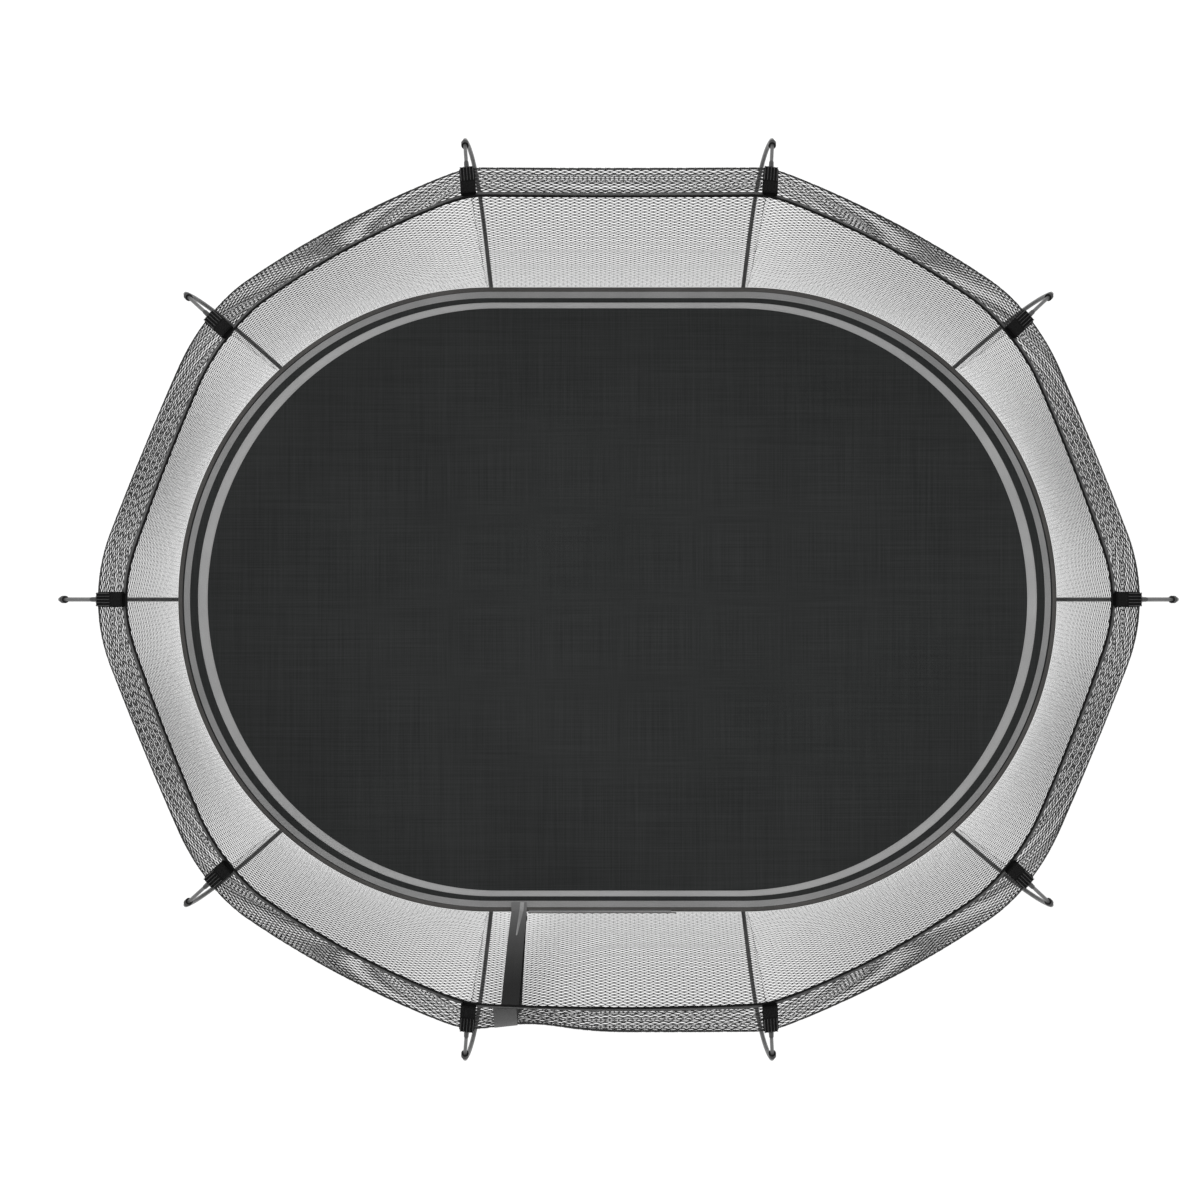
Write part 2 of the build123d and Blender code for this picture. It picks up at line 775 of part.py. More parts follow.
# The strap runs up the wall beside the slit, from a tail on the mat's border to a patch on the collar
strap_out = -net_thickness - 0.4
strap_foot = -2.0
strap_length = wall_slope_length - 11
strap_head = strap_right - strap_lean
patch_left = strap_head - strap_widths[1] - patch_overhang
with BuildPart() as door_strap:
    with BuildSketch(on_wall(strap_out)):
        Polygon(
            (strap_right - strap_widths[0], strap_foot),
            (strap_right, strap_foot),
            (strap_head, strap_length),
            (strap_head - strap_widths[1], strap_length),
            align=None,
        )
    extrude(amount=-strap_thickness)
    tail_outer = wall_foot.Y - strap_out + 0.2
    with BuildSketch(Plane.XY.offset(mat_top + border_height - strap_thickness + 0.6)):
        with Locations((strap_right - strap_widths[0] / 2, tail_outer + strap_tail / 2)):
            Rectangle(strap_widths[0], strap_tail)
    extrude(amount=strap_thickness)
    for height in (bulge_height + 4, hem_height - hem_depth - 2):
        reach = net_corner(side_front, height).Y
        with BuildSketch(Plane.XY.offset(height)):
            with Locations(((strap_head + patch_left) / 2, reach - 0.4 - patch_thickness / 2)):
                Rectangle(strap_head - patch_left, patch_thickness)
    loft(ruled=True)
save(door_strap, "door_strap")

with BuildPart() as strap_streak:
    streak_foot = strap_right - strap_widths[0] / 2 + streak_shift
    with BuildSketch(on_wall(strap_out - strap_thickness)):
        low, high = (width / 2 for width in streak_widths)
        Polygon(
            (streak_foot - low, 6),
            (streak_foot + low, 6),
            (streak_foot - streak_shift + high, streak_length),
            (streak_foot - streak_shift - high, streak_length),
            align=None,
        )
    extrude(amount=-1)
save(strap_streak, "strap_streak")

zip_place = slit_place - zip_width
with BuildPart() as door_zip:
    with BuildSketch(on_wall(0.4)):
        with Locations((zip_place, slit_length / 2)):
            Rectangle(zip_width, slit_length)
    extrude(amount=zip_thickness)
save(door_zip, "door_zip")

slider_floor = 0.4 + zip_thickness + 0.5
with BuildPart() as zip_slider:
    with BuildSketch(on_wall(slider_floor)):
        with Locations((zip_place, slider_place)):
            RectangleRounded(slider_size[0], slider_size[1], slider_corner)
    extrude(amount=slider_size[2])
save(zip_slider, "zip_slider")

with BuildPart() as zip_pull:
    with BuildSketch(on_wall(slider_floor + slider_size[2] + 0.5)):
        with Locations((zip_place, pull_place)):
            RectangleRounded(pull_size[0], pull_size[1], pull_corner)
            with Locations((0, -pull_slot_drop)):
                SlotOverall(*pull_slot, rotation=90, mode=Mode.SUBTRACT)
    extrude(amount=pull_size[2])
save(zip_pull, "zip_pull")
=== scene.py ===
import json
import math

import bpy
import numpy as np
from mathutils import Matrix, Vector


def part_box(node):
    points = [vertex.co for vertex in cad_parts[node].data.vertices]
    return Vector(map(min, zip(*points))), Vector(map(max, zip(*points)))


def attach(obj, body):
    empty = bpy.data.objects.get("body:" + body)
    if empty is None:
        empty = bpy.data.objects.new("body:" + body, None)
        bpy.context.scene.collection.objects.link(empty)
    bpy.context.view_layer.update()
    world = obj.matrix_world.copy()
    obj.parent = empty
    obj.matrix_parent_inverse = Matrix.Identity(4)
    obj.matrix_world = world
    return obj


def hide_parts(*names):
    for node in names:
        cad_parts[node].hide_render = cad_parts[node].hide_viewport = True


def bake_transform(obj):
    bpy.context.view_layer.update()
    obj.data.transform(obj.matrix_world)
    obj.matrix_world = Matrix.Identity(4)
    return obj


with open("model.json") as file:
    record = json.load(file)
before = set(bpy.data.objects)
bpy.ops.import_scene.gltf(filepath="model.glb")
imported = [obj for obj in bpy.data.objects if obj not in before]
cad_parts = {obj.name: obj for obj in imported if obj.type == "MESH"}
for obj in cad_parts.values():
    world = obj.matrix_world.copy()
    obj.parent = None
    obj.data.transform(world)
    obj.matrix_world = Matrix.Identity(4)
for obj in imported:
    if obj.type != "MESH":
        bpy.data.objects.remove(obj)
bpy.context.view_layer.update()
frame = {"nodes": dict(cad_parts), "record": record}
nodes = frame["nodes"]
random = np.random.default_rng(7)

# --- Places that the frame gives ----------------------------------------------------------------

half_length, half_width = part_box("mat_border")[1][:2]
arc_centre = half_length - half_width
mat_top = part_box("jumping_mat")[1][2]
mat_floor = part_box("jumping_mat")[0][2]
net_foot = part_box("net_wall_rear")[0][2]
bulge_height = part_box("net_wall_rear")[1][2]
hem_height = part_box("net_collar")[1][2]
flap_low, flap_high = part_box("door_flap")
zip_low, zip_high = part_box("door_zip")
ring_low, ring_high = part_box("ring_side_rear")
ring_height = (ring_low[2] + ring_high[2]) / 2
ring_radius = (ring_low[1] + ring_high[1]) / 2
strap_low, strap_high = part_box("door_strap")

# --- The net's cloth ----------------------------------------------------------------------------

# Its cells: their width, how many rows of them, and how far a row's zigzag rises and falls
cell_width = 0.032
wall_rows = 100
collar_rows = 21
row_rise = 0.0034
knit_scatter = 0.0004
# Its yarn's radius: the collar's, the wall's where it is upright and per metre of its lean, the
# uprights' share of that, and the sewn seams'
collar_strand = 0.00125
wall_strand = 0.0004
strand_per_lean = 0.0026
upright_widening = 2.1
seam_radius = 0.0005
# Its heights in metres of cloth, and how far its fold at the bulge reaches and stands out
wall_cloth = 1.29
collar_cloth = 0.278
fold_reach = 0.03
fold_ease = 0.008
# How far the wall is drawn in, away from the slit and at it, and how far the strap pulls the bulge in
wall_pull = 0.6
slit_pull = 0.2
strap_dent = 0.03
# Where the net's seams leave the mat's edge, with the way out in degrees, and how far out the net's
# bulge and hem would come to a point there, and how far their bends reach: end, corner and side rods
seam_kinds = (
    ((1.6885, 0.0), 0.0, (0.206, 0.244), (0.061, 0.169)),
    ((1.3055, 0.8789), 40.75, (0.222, 0.201), (0.099, 0.211)),
    ((0.500, 1.2), 83.1, (0.337, 0.055), (0.214, 0.064)),
)
# How far each panel's bulge and hem bow out between two seams
panel_bows = (
    (0.010, 0.0387, -0.002, 0.0387, 0.010, 0.010, 0.0387, 0.002, 0.0387, 0.010),
    (0.0184, 0.0405, -0.005, 0.0405, 0.0184, 0.0184, 0.0405, 0.015, 0.0405, 0.0184),
)
# The kind of each seam round the net, from the right-hand end, and the quarter it stands in
seams = (
    (0, 1, 1), (1, 1, 1), (2, 1, 1), (2, -1, 1), (1, -1, 1),
    (0, -1, 1), (1, -1, -1), (2, -1, -1), (2, 1, -1), (1, 1, -1),
)
rod_count = len(seams)


def clusters(name, reach):
    """The CAD node's vertices, in groups that stand apart in plan, counter-clockwise from +X."""
    points = np.array([v.co for v in nodes[name].data.vertices])
    left = np.ones(len(points), bool)
    groups = []
    while left.any():
        seed = points[np.argmax(left)]
        near = left & (np.hypot(*(points[:, :2] - seed[:2]).T) < reach)
        groups.append(points[near])
        left &= ~near
    turns = [math.atan2(g[:, 1].mean(), g[:, 0].mean()) % (2 * math.pi) for g in groups]
    turns = [0.0 if turn > 2 * math.pi - 0.01 else turn for turn in turns]
    return [groups[i] for i in np.argsort(turns)]


def unit(vectors):
    return vectors / np.linalg.norm(vectors, axis=-1, keepdims=True)


class Pocket:
    """A pocket's box: its middle, the ways along it, across it and out of it, and its half sizes."""

    def __init__(self, points):
        middle = points.mean(0)
        _, axes = np.linalg.eigh(np.cov((points - middle).T))
        self.out, self.across, self.along = axes.T
        if self.along[2] < 0:
            self.along = -self.along
        if self.out[:2] @ middle[:2] < 0:
            self.out = -self.out
        self.across = np.cross(self.out, self.along)
        spans = [points @ axis for axis in (self.across, self.out, self.along)]
        self.half = np.array([(span.max() - span.min()) / 2 for span in spans])
        centre = [(span.max() + span.min()) / 2 for span in spans]
        self.middle = centre[0] * self.across + centre[1] * self.out + centre[2] * self.along
        self.flat_out = unit(-self.along[:2])

    def place(self, across, out, along):
        """Points of the row frame, from metres in the pocket's own directions from its middle."""
        return (
            self.middle
            + np.multiply.outer(across, self.across)
            + np.multiply.outer(out, self.out)
            + np.multiply.outer(along, self.along)
        )


pockets = [Pocket(points) for points in clusters("net_pockets", 0.25)]

# --- The mat's oval -----------------------------------------------------------------------------

quarter_round = math.pi * half_width / 2
oval_knots = np.cumsum([0, quarter_round, 2 * arc_centre, 2 * quarter_round, 2 * arc_centre, quarter_round])
edge_length = oval_knots[-1]


def oval(distance, length=half_length, width=half_width):
    """Points of an oval, as far round as these distances are round the mat's edge, and the ways out."""
    along = np.mod(distance, edge_length)
    middle = length - width
    centres = np.interp(along, oval_knots, [middle, middle, -middle, -middle, middle, middle])
    turns = np.interp(along, oval_knots, np.array([0, 1, 1, 3, 3, 4]) * math.pi / 2)
    out = np.stack([np.cos(turns), np.sin(turns)], -1)
    points = out * width
    points[..., 0] += centres
    return points, out


def distance_round(x, y):
    """How far round the mat's edge a point of it lies, from the right-hand end."""
    if abs(x) <= arc_centre:
        if y > 0:
            return quarter_round + arc_centre - x
        return 3 * quarter_round + 2 * arc_centre + arc_centre + x
    turn = math.atan2(y, x - math.copysign(arc_centre, x)) % (2 * math.pi)
    if x > 0:
        return turn * half_width + (4 * arc_centre if turn > math.pi else 0)
    return turn * half_width + 2 * arc_centre


# --- The net's surface --------------------------------------------------------------------------


def seam_place(seam, reach):
    """The point this far straight out from where a seam leaves the mat's edge."""
    kind, side_x, side_y = seam
    (x, y), turn = seam_kinds[kind][:2]
    turn = math.radians(turn)
    return np.array([side_x * (x + reach * math.cos(turn)), side_y * (y + reach * math.sin(turn))])


def net_ring(level):
    """The net's outline at its bulge or hem, as a function of u, which counts the seams round it."""
    steps = 100
    share = np.arange(steps) / steps
    corners = [seam_place(seam, seam_kinds[seam[0]][2 + level][0]) for seam in seams]
    points = []
    for start, end, panel_bow in zip(corners, corners[1:] + corners[:1], panel_bows[level]):
        out = unit(np.array([end[1] - start[1], start[0] - end[0]]))
        bow = 4 * panel_bow * share * (1 - share)
        points.append(start + (end - start) * share[:, None] + out * bow[:, None])
    closed = np.vstack(points + [corners[0]])
    knots = np.append(0, np.cumsum(np.linalg.norm(np.diff(closed, axis=0), axis=1)))
    bends = [seam_kinds[kind][2 + level][1] for kind, _, _ in seams + seams[:1]]
    bend = np.interp(np.arange(len(closed)) / steps, np.arange(rod_count + 1), bends)
    spots = np.mod(knots[:, None] + bend[:, None] * np.linspace(-1, 1, 13), knots[-1])
    smooth = np.stack([np.interp(spots, knots, closed[:, i]).mean(-1) for i in (0, 1)], -1)

    def at(u):
        places = np.mod(u, rod_count) * steps
        return np.stack([np.interp(places, np.arange(len(closed)), smooth[:, i]) for i in (0, 1)], -1)

    return at


foot_distances = [distance_round(*seam_place(seam, 0)) for seam in seams]
foot_knots = np.append(foot_distances, edge_length)
bulge_ring = net_ring(0)
hem_ring = net_ring(1)
foot_gap = 0.0012
front_panel = 7
slit_u = front_panel + 0.5 + (strap_high[0] + strap_low[0]) / 4 / abs(seam_place(seams[7], 0.3)[0])
cloth_top = wall_cloth + collar_cloth


def ring_out(u):
    """The level way out of the net."""
    step = 0.002
    along = unit(bulge_ring(u + step) - bulge_ring(u - step))
    return np.stack([along[..., 1], -along[..., 0], np.zeros_like(along[..., 0])], -1)


def near_slit(u, shift=0.0, reach=0.11):
    """1 at the door's slit, which its strap keeps nearly straight, and 0 away from it."""
    return np.exp(-(((np.mod(u, rod_count) - slit_u - shift) / reach) ** 2))


def net_point(u, up, out=0.0):
    """Points of the net: u counts its seams, and up is metres of cloth from the mat's edge.

    Between the mat and the bulge the net is drawn in by its own tension, so it leaves the mat steeply."""
    pull = wall_pull - (wall_pull - slit_pull) * near_slit(u)
    shares = np.zeros(np.broadcast(u, up).shape + (3,))
    heights = np.zeros(shares.shape[:-1])
    for shift in (-fold_reach, 0, fold_reach):
        spot = np.clip(up, fold_reach, cloth_top - fold_reach) + shift
        spot = np.where((up < fold_reach) | (up > cloth_top - fold_reach), up, spot)
        rise = np.clip(spot / wall_cloth, 0, 1)
        hem = np.clip((spot - wall_cloth) / collar_cloth, 0, 1)
        reach = rise - pull * rise * (1 - rise)
        shares += np.stack([1 - reach, reach - hem, hem], -1) / 3
        heights += (net_foot + rise * (bulge_height - net_foot) + hem * (hem_height - bulge_height)) / 3
    foot_points, foot_out = oval(np.interp(np.mod(u, rod_count), np.arange(rod_count + 1), foot_knots))
    level = ring_out(u)
    ease = fold_ease - strap_dent * near_slit(u, 0.07, 0.16)
    bulge = bulge_ring(u) + level[..., :2] * ease[..., None]
    rings = [foot_points + foot_out * foot_gap, bulge, hem_ring(u)]
    plan = sum(share[..., None] * ring for share, ring in zip(np.moveaxis(shares, -1, 0), rings))
    points = np.concatenate([plan, heights[..., None]], -1)
    return points + level * np.asarray(out)[..., None]


bulge_places = np.linspace(0, rod_count, 4001)
bulge_steps = np.linalg.norm(bulge_ring(bulge_places[1:]) - bulge_ring(bulge_places[:-1]), axis=1)
bulge_knots = np.concatenate([[0], np.cumsum(bulge_steps)])


def even_u(share):
    """Values of u that go round the net's bulge at an even pace, for shares from 0 to 1."""
    return np.interp(np.asarray(share) * bulge_knots[-1], bulge_knots, bulge_places)


# --- Materials ----------------------------------------------------------------------------------


class Material:
    """A Principled material whose colour, roughness and bump come from textures in the row frame."""

    def __init__(self, name, roughness=0.6, metallic=0.0, gloss=0.5, coat=0.0):
        self.material = bpy.data.materials.new(name)
        self.material.use_nodes = True
        self.tree = self.material.node_tree
        self.shader = self.tree.nodes["Principled BSDF"]
        self.shader.inputs["Roughness"].default_value = roughness
        self.shader.inputs["Metallic"].default_value = metallic
        self.shader.inputs["Specular IOR Level"].default_value = gloss
        self.shader.inputs["Coat Weight"].default_value = coat
        self.shader.inputs["Coat Roughness"].default_value = 0.25
        self.height = None
        self.coordinates = self.tree.nodes.new("ShaderNodeTexCoord")

    def link(self, source, target):
        self.tree.links.new(source, target)

    def mapped(self, scale, turn=0.0):
        mapping = self.tree.nodes.new("ShaderNodeMapping")
        mapping.inputs["Scale"].default_value = scale
        mapping.inputs["Rotation"].default_value = (0, 0, turn)
        self.link(self.coordinates.outputs["Object"], mapping.inputs["Vector"])
        return mapping.outputs["Vector"]

    def noise(self, scale, detail=3.0, stretch=(1, 1, 1)):
        texture = self.tree.nodes.new("ShaderNodeTexNoise")
        texture.inputs["Scale"].default_value = scale
        texture.inputs["Detail"].default_value = detail
        self.link(self.mapped(stretch), texture.inputs["Vector"])
        return texture.outputs["Fac"]

    def wave(self, direction, scale, turn=0.0):
        texture = self.tree.nodes.new("ShaderNodeTexWave")
        texture.bands_direction = direction
        texture.inputs["Scale"].default_value = scale
        self.link(self.mapped((1, 1, 1), turn), texture.inputs["Vector"])
        return texture.outputs["Fac"]

    def math(self, operation, first, second):
        node = self.tree.nodes.new("ShaderNodeMath")
        node.operation = operation
        for value, socket in zip((first, second), node.inputs):
            if isinstance(value, (int, float)):
                socket.default_value = value
            else:
                self.link(value, socket)
        return node.outputs[0]

    def ramp(self, factor, stops):
        node = self.tree.nodes.new("ShaderNodeValToRGB")
        elements = node.color_ramp.elements
        while len(elements) < len(stops):
            elements.new(0.5)
        for element, (place, colour) in zip(elements, stops):
            element.position = place
            element.color = (*colour, 1)
        self.link(factor, node.inputs["Fac"])
        return node.outputs["Color"]

    def colour(self, factor, dark, light, low=0.3, high=0.7):
        self.link(self.ramp(factor, [(low, dark), (high, light)]), self.shader.inputs["Base Color"])

    def rough(self, factor, low, high):
        node = self.tree.nodes.new("ShaderNodeMapRange")
        node.inputs["To Min"].default_value = low
        node.inputs["To Max"].default_value = high
        self.link(factor, node.inputs["Value"])
        self.link(node.outputs["Result"], self.shader.inputs["Roughness"])

    def bump(self, factor, distance, strength=1.0):
        node = self.tree.nodes.new("ShaderNodeBump")
        node.inputs["Distance"].default_value = distance
        node.inputs["Strength"].default_value = strength
        self.link(factor, node.inputs["Height"])
        if self.height is not None:
            self.link(self.height, node.inputs["Normal"])
        self.height = node.outputs["Normal"]
        self.link(self.height, self.shader.inputs["Normal"])


def grey(value, warm=0.0):
    return (value * (1 + warm), value, value * (1 - warm))


def coated_steel():
    made = Material("frame_powder_coat", gloss=0.4, coat=0.1)
    cloud = made.noise(9, 5)
    made.colour(cloud, grey(0.028), grey(0.042))
    made.rough(made.noise(60, 4), 0.34, 0.52)
    made.bump(made.noise(700, 2), 0.00012)
    return made.material


def zinc():
    made = Material("zinc_plate", metallic=1.0)
    made.colour(made.noise(220, 4), grey(0.38), grey(0.62))
    made.rough(made.noise(400, 3), 0.28, 0.5)
    made.bump(made.noise(1200, 2), 0.00006)
    return made.material


def rubber():
    made = Material("foot_rubber")
    made.colour(made.noise(40, 5), grey(0.012), grey(0.03))
    made.rough(made.noise(120, 3), 0.7, 0.92)
    made.bump(made.wave("Z", 90), 0.0004)
    return made.material


def composite(name, dark, light):
    made = Material(name, gloss=0.12)
    streaks = made.noise(110, 4, stretch=(1, 1, 0.03))
    made.colour(streaks, grey(dark), grey(light))
    made.rough(made.noise(30, 4), 0.26, 0.42)
    made.bump(made.noise(500, 3, stretch=(1, 1, 0.1)), 0.00008)
    return made.material


def moulded_plastic(name="black_plastic", dark=0.003, light=0.009):
    made = Material(name, gloss=0.2)
    made.colour(made.noise(25, 5), grey(dark), grey(light))
    made.rough(made.noise(80, 3), 0.4, 0.6)
    made.bump(made.noise(1100, 2), 0.00008)
    return made.material


def mat_weave():
    """Tight polypropylene weave: crossing threads, and long faint streaks where threads differ."""
    made = Material("mat_weave", gloss=0.15)
    warp = made.noise(260, 1.5, stretch=(1, 0.012, 1))
    weft = made.noise(260, 1.5, stretch=(0.012, 1, 1))
    threads = made.math("MULTIPLY", made.math("ADD", warp, weft), 0.5)
    cloud = made.noise(2.2, 4)
    both = made.math("ADD", made.math("MULTIPLY", threads, 0.8), made.math("MULTIPLY", cloud, 0.2))
    made.colour(both, (0.0117, 0.0127, 0.0127), (0.0227, 0.0241, 0.0240), 0.36, 0.64)
    made.rough(threads, 0.62, 0.8)
    made.bump(made.wave("X", 160), 0.0003, 0.6)
    made.bump(made.wave("Y", 160), 0.0003, 0.6)
    return made.material


def webbing(name, dark, light, roughness=(0.6, 0.8), pitch=240, warm=0.0, gloss=0.2):
    """Woven strap or binding: fine threads, uneven wear, and ribs that cross on the slant."""
    made = Material(name, gloss=gloss)
    threads = made.noise(420, 2)
    cloud = made.noise(6, 4)
    both = made.math("ADD", made.math("MULTIPLY", threads, 0.6), made.math("MULTIPLY", cloud, 0.4))
    made.colour(both, grey(dark, warm), grey(light, warm), 0.36, 0.64)
    made.rough(threads, *roughness)
    made.bump(made.wave("DIAGONAL", pitch), 0.0003, 0.7)
    made.bump(made.wave("DIAGONAL", pitch, turn=math.pi / 2), 0.0003, 0.5)
    return made.material


def sheen_ramp_webbing(name, low, scale, tones):
    """Dark webbing with random tone from noise and a painted sheen: a ramp on height makes it lighter
    towards its lower end.
    """
    made = Material(name, gloss=0.15)
    split = made.tree.nodes.new("ShaderNodeSeparateXYZ")
    made.link(made.coordinates.outputs["Object"], split.inputs["Vector"])
    # The height term is the painted sheen; the two noises add random tone.
    height = made.math("MULTIPLY", made.math("SUBTRACT", split.outputs["Z"], low), scale)
    sheen_and_tone = made.math("ADD", made.math("MULTIPLY", made.noise(420, 2), 0.14), height)
    sheen_and_tone = made.math("ADD", made.math("MULTIPLY", made.noise(14, 4), 0.1), sheen_and_tone)
    ramp = made.ramp(sheen_and_tone, [(at, grey(tone)) for at, tone in tones])
    made.link(ramp, made.shader.inputs["Base Color"])
    made.rough(made.noise(300, 2), 0.55, 0.75)
    made.bump(made.wave("DIAGONAL", 240), 0.0003, 0.7)
    return made.material


def net_strand():
    made = Material("net_strand", gloss=0.2)
    made.colour(made.noise(90, 3), grey(0.012), grey(0.03))
    made.rough(made.noise(200, 2), 0.45, 0.65)
    made.bump(made.noise(2500, 2), 0.0001)
    return made.material


materials = {
    "frame_paint": coated_steel(),
    "zinc_steel": zinc(),
    "foot_rubber": rubber(),
    "net_rod_composite": composite("net_rod_composite", 0.05, 0.08),
    "mat_rod_composite": composite("mat_rod_composite", 0.06, 0.10),
    "black_plastic": moulded_plastic(),
    "mat_weave": mat_weave(),
    "stripe_webbing": webbing("stripe_webbing", 0.28, 0.35),
    "border_webbing": webbing("border_webbing", 0.042, 0.072, warm=0.04),
    "net_mesh": net_strand(),
    "pocket_fabric": webbing("pocket_fabric", 0.0012, 0.004, (0.7, 0.9), gloss=0.03),
    "hem_binding": webbing("hem_binding", 0.035, 0.065),
    "cord_black": webbing("cord_black", 0.0015, 0.005, (0.6, 0.8), 400, gloss=0.1),
    # The strap's ramp on height is painted sheen: lighter near the mat, darker up the wall.
    "strap_webbing": sheen_ramp_webbing("strap_webbing", mat_top, 1.0, (
        (0.12, 0.15), (0.34, 0.10), (0.55, 0.064), (0.78, 0.036), (1.0, 0.02))),
    "light_tape": webbing("light_tape", 0.23, 0.34, (0.4, 0.6)),
    "zip_black": moulded_plastic("zip_black", 0.008, 0.02),
}
for subpart in frame["record"]["subparts"]:
    skin = nodes[subpart["node"]].data.materials
    skin.clear()
    skin.append(materials[subpart["material_slot"]])

# --- Mesh helpers -------------------------------------------------------------------------------


def add_mesh(name, points, faces, slot, smooth=True):
    mesh = bpy.data.meshes.new(name)
    mesh.from_pydata(np.asarray(points).tolist(), [], [list(map(int, face)) for face in faces])
    mesh.validate()
    mesh.polygons.foreach_set("use_smooth", [smooth] * len(mesh.polygons))
    mesh.materials.append(materials[slot])
    piece = bpy.data.objects.new(name, mesh)
    bpy.context.scene.collection.objects.link(piece)
    return piece


def grid_faces(rows, columns, close_rows=False, close_columns=False):
    """Quads between neighbours of a grid of points, numbered along its rows."""
    row = np.arange(rows if close_rows else rows - 1)[:, None]
    column = np.arange(columns if close_columns else columns - 1)[None]
    next_row = (row + 1) % rows
    next_column = (column + 1) % columns
    corners = (
        row * columns + column,
        row * columns + next_column,
        next_row * columns + next_column,
        next_row * columns + column,
    )
    return np.stack([corner.ravel() for corner in np.broadcast_arrays(*corners)], -1)


def strands(starts, ends, outward, radius, depth=1.0):
    """Thin three-sided rods between pairs of points. Depth is how thick they are outwards, as a share."""
    along = unit(ends - starts)
    side = unit(np.cross(along, outward))
    other = np.cross(side, along)
    turns = np.radians([90, 210, 330])
    radius = np.broadcast_to(radius, len(starts))[:, None]
    other = other * np.broadcast_to(depth, len(starts))[:, None]
    rims = [radius * (math.cos(turn) * side + math.sin(turn) * other) for turn in turns]
    points = np.stack([starts + rim for rim in rims] + [ends + rim for rim in rims], 1)
    base = np.arange(len(starts))[:, None] * 6
    quads = [np.array(quad) + base for quad in ((0, 1, 4, 3), (1, 2, 5, 4), (2, 0, 3, 5))]
    return points.reshape(-1, 3), np.concatenate(quads)


def blend_with_mat(piece):
    """Bakes the piece's transform into its mesh."""
    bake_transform(piece)


# --- Net ----------------------------------------------------------------------------------------

panel_names = (
    "right_rear",
    "corner_rear_right",
    "rear",
    "corner_rear_left",
    "left_rear",
    "left_front",
    "corner_front_left",
    "front",
    "corner_front_right",
    "right_front",
)
slit_place = flap_low[0]
door_end = flap_high[0]
door_top = flap_high[2]


def in_flap(points):
    """Whether points of the front wall lie in the door's flap."""
    across = (points[:, 0] - slit_place) / (door_end - slit_place)
    rise = (points[:, 2] - net_foot) / (door_top - net_foot)
    return (across > 0) & (across + rise < 1)


def panel_width(index, up):
    """How wide a panel's cloth is at these cloth heights."""
    across = np.linspace(index, index + 1, 31)
    rings = [np.linalg.norm(np.diff(ring(across), axis=0), axis=1).sum() for ring in (bulge_ring, hem_ring)]
    foot = foot_knots[index + 1] - foot_knots[index]
    return np.interp(up, [0, wall_cloth, cloth_top], [foot, *rings])


def knit_panel(index):
    """Every strand of one panel of the net: its ends, the way out of the net there, its radius and depth.

    The yarn lies flat in the cloth, so it is thin outwards where the wall is steep."""
    top_margin = 0.006
    rows = np.concatenate([
        np.linspace(0, wall_cloth, wall_rows + 1),
        wall_cloth + np.linspace(0, collar_cloth - top_margin, collar_rows + 1)[1:],
    ])
    half_columns = int(panel_width(index, rows).max() / cell_width) + 1
    row = np.arange(len(rows))[:, None]
    column = np.arange(-half_columns, half_columns + 1)[None]
    peak = (row + column) % 2 == 0
    up = rows[:, None] + np.where(peak, row_rise, -row_rise)
    up = up + random.normal(0, knit_scatter, peak.shape)
    up = np.clip(up, 0, cloth_top - 0.002)
    across = column * cell_width / 2 + random.normal(0, knit_scatter, peak.shape)
    share = 0.5 + across / panel_width(index, up)
    inside = (share > 0) & (share < 1)
    u = index + np.clip(share, 0, 1)
    points = net_point(u, up)
    out = ring_out(np.clip(u, index + 0.001, index + 0.999))
    joined = inside[:, :-1] | inside[:, 1:]
    upright = (peak & inside)[:-1] & inside[1:]
    kinds = [seams[(index + side) % rod_count][0] for side in (0, 1)]
    lean = sum(seam_kinds[kind][2][0] for kind in kinds) / 2
    in_collar = up > wall_cloth + row_rise
    radius = np.where(in_collar, collar_strand, wall_strand + strand_per_lean * lean)
    depth = np.where(in_collar, 1.0, 1 - wall_pull * (1 - 2 * up / wall_cloth))
    zigzag = (
        points[:, :-1][joined],
        points[:, 1:][joined],
        out[:, :-1][joined],
        radius[:, 1:][joined],
        depth[:, 1:][joined],
    )
    uprights = (
        points[:-1][upright],
        points[1:][upright],
        out[:-1][upright],
        radius[1:][upright] * upright_widening,
        depth[1:][upright],
    )
    return [np.concatenate(pair) for pair in zip(zigzag, uprights)]


def seam_strands(index):
    """The sewn edge that two panels share, from the mat to the hem."""
    count = 70
    points = net_point(np.full(count, float(index)), np.linspace(0, cloth_top - 0.004, count))
    return points[:-1], points[1:], ring_out(np.full(count - 1, float(index)))


def make_net():
    for index, name in enumerate(panel_names):
        knit = knit_panel(index)
        flap = in_flap((knit[0] + knit[1]) / 2) & (index == front_panel)
        points, faces = strands(*(part[~flap] for part in knit))
        seam_points, seam_faces = strands(*seam_strands(index), seam_radius)
        faces = np.concatenate([faces, seam_faces + len(points)])
        points = np.concatenate([points, seam_points])
        piece = add_mesh(f"net_{name}", points, faces, "net_mesh")
        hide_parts(f"net_wall_{name}", *(["net_collar"] if index == front_panel else []))
        declare_net(piece, (float(panel_width(index, wall_cloth)), cloth_top))
        blend_with_mat(piece)
        if flap.any():
            points, faces = strands(*(part[flap] for part in knit))
            piece = add_mesh("door_flap_net", points, faces, "net_mesh")
            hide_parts("door_flap")
            declare_net(piece, (door_end - slit_place, door_top - net_foot))
            bend_at_hinge(piece)


def declare_net(piece, flat):
    """Works out the strands' share of the cut's area, and not its open cells, held between 0.3 and 1 of the
    flat size; nothing uses it.
    """
    area = sum(face.area for face in piece.data.polygons)
    area = min(max(area, 0.3 * flat[0] * flat[1]), flat[0] * flat[1])


def ring_sweep(name, u, profile, slot):
    """A closed band round the net. The profile is (cloth height, way out, lift) for each of its points."""
    rings = []
    for up, out, lift in profile:
        ring = net_point(u, np.full(u.shape, up), np.full(u.shape, out))
        ring[:, 2] += lift
        rings.append(ring)
    points = np.stack(rings, 1).reshape(-1, 3)
    return add_mesh(name, points, grid_faces(len(u), len(profile), True, True), slot)


